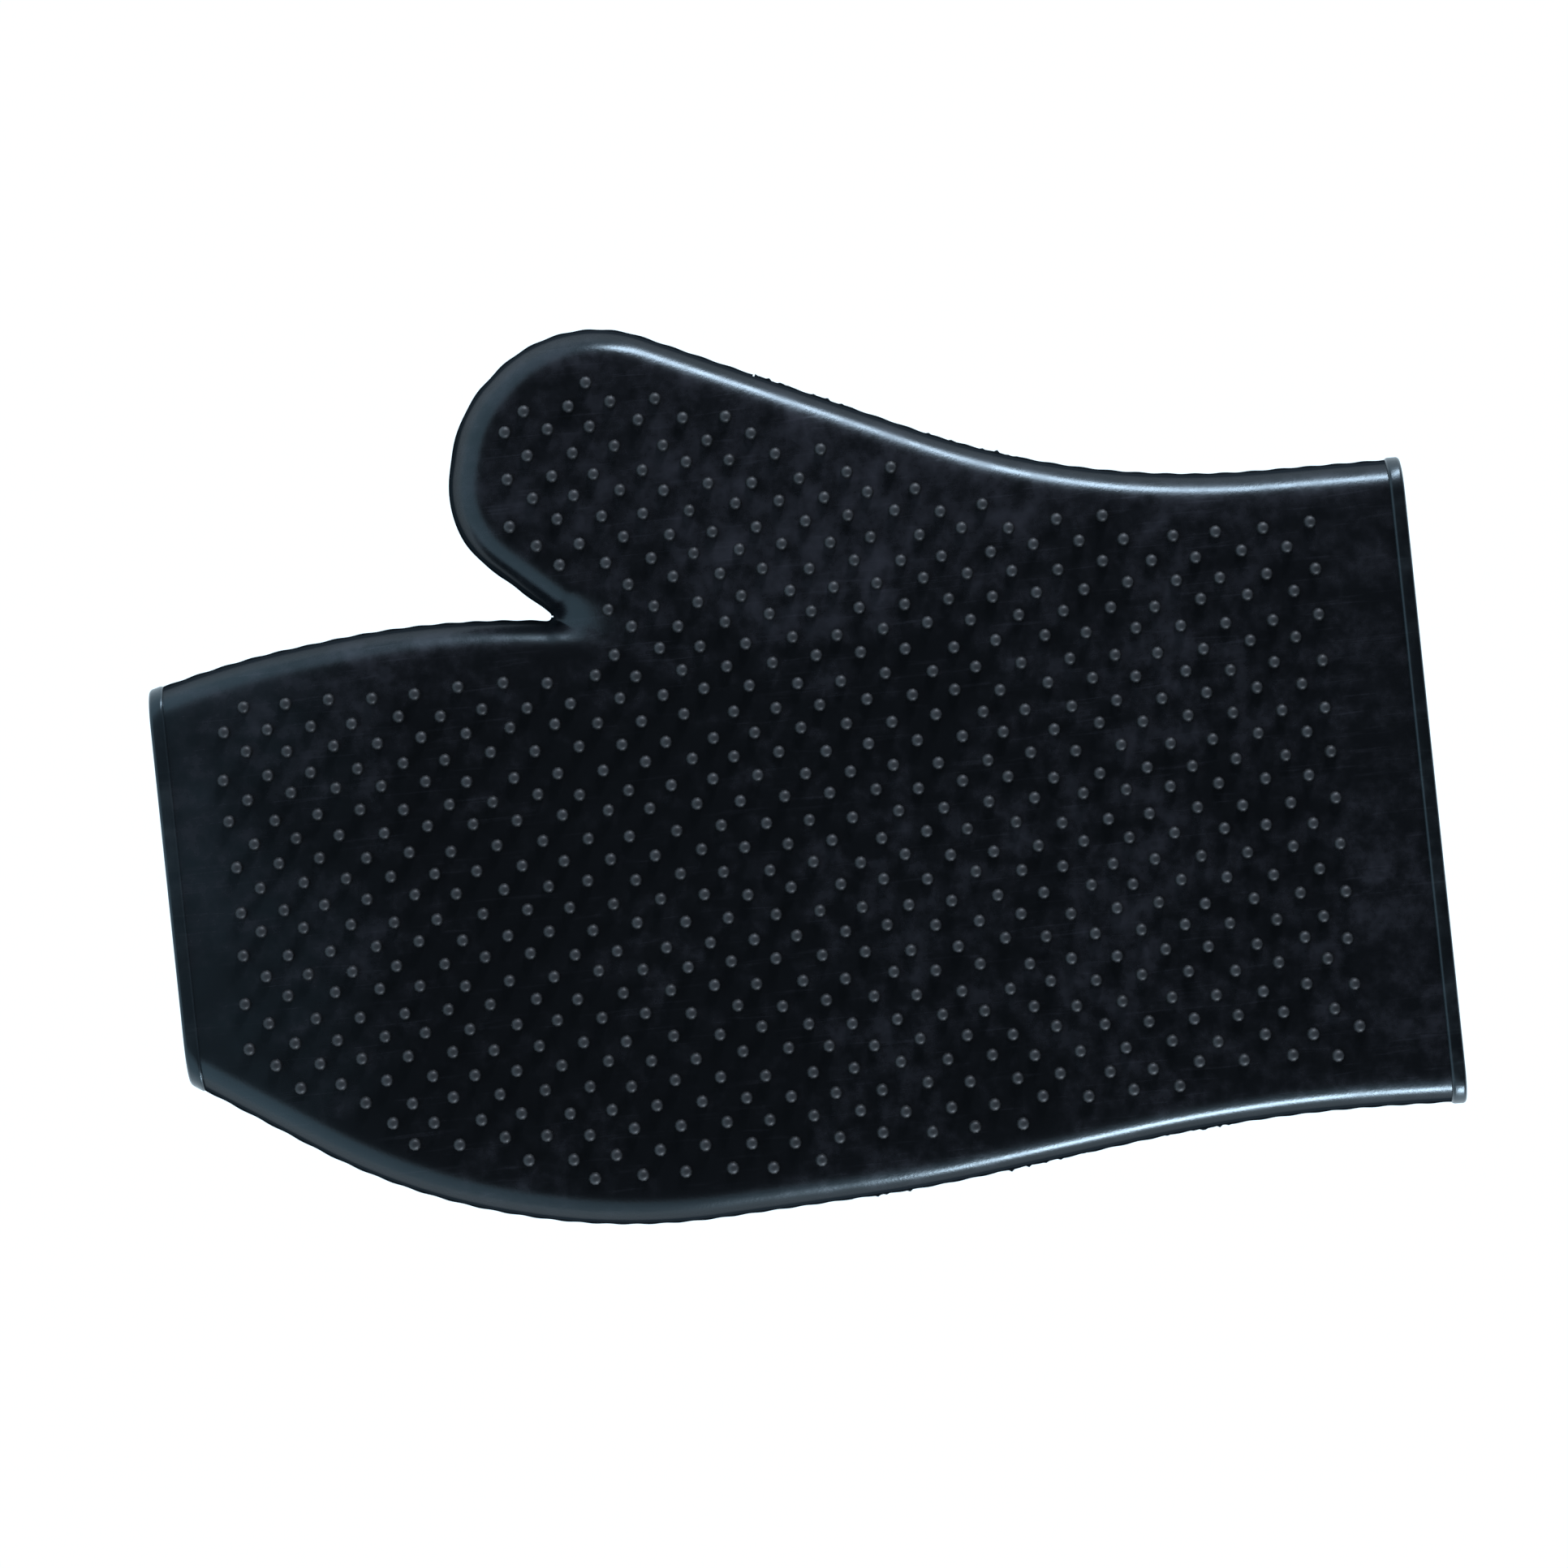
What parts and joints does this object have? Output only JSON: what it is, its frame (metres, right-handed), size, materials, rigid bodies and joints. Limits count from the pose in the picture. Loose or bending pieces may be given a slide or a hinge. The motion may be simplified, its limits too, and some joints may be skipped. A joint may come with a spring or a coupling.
{
  "type": "grooming glove",
  "caption": "Black rubber grooming mitt with a thumb, open at the wrist and fingertips, with fine nubs on the palm and coarse nubs on the back.",
  "frame": {"origin": "centre of the bounding box's underside, on the plane of the coarse nubs' tips", "axes": "+X from the fingertip mouth to the cuff, +Y towards the thumb, +Z from the back face up to the palm face"},
  "size_m": [0.257, 0.1826, 0.0198],
  "materials": {
    "palm_skin": "moulded black rubber, semi-gloss, with cloudy grey bloom and light scuffs",
    "back_skin": "moulded black rubber, semi-gloss",
    "fine_nubs": "black rubber, worn a little greyer on the tips",
    "coarse_nubs": "black rubber, flat tips a little matt",
    "beads": "black rubber, smooth",
    "seam": "black rubber flash, matt and slightly ragged"
  },
  "bodies": {
    "hand": {"hand_palm_shell": "palm_skin", "hand_back_shell": "back_skin", "hand_fine_nubs": "fine_nubs", "hand_coarse_nubs": "coarse_nubs", "cuff_bead_palm": "beads", "cuff_bead_back": "beads", "seam_hand_little_side": "seam", "seam_hand_thumb_side": "seam", "seam_web": "seam"},
    "fingers": {"fingers_palm_shell": "palm_skin", "fingers_back_shell": "back_skin", "fingers_fine_nubs": "fine_nubs", "fingers_coarse_nubs": "coarse_nubs", "finger_bead_palm": "beads", "finger_bead_back": "beads", "seam_fingers_little_side": "seam", "seam_fingers_thumb_side": "seam"},
    "thumb": {"thumb_palm_shell": "palm_skin", "thumb_back_shell": "back_skin", "thumb_fine_nubs": "fine_nubs", "thumb_coarse_nubs": "coarse_nubs", "seam_thumb": "seam"}
  },
  "joints": [
    {"name": "finger_flex", "type": "hinge", "parent": "hand", "child": "fingers", "pos_m": [-0.05943, 0.00114, 0.018], "axis": [0.0192, 0.9998, 0], "range_deg": [0, 60], "stiffness_Nm_per_rad": 0.15},
    {"name": "thumb_flex", "type": "hinge", "parent": "hand", "child": "thumb", "pos_m": [-0.04497, 0.04612, 0.018], "axis": [0.716, 0.6981, 0], "range_deg": [0, 50], "stiffness_Nm_per_rad": 0.06}
  ]
}
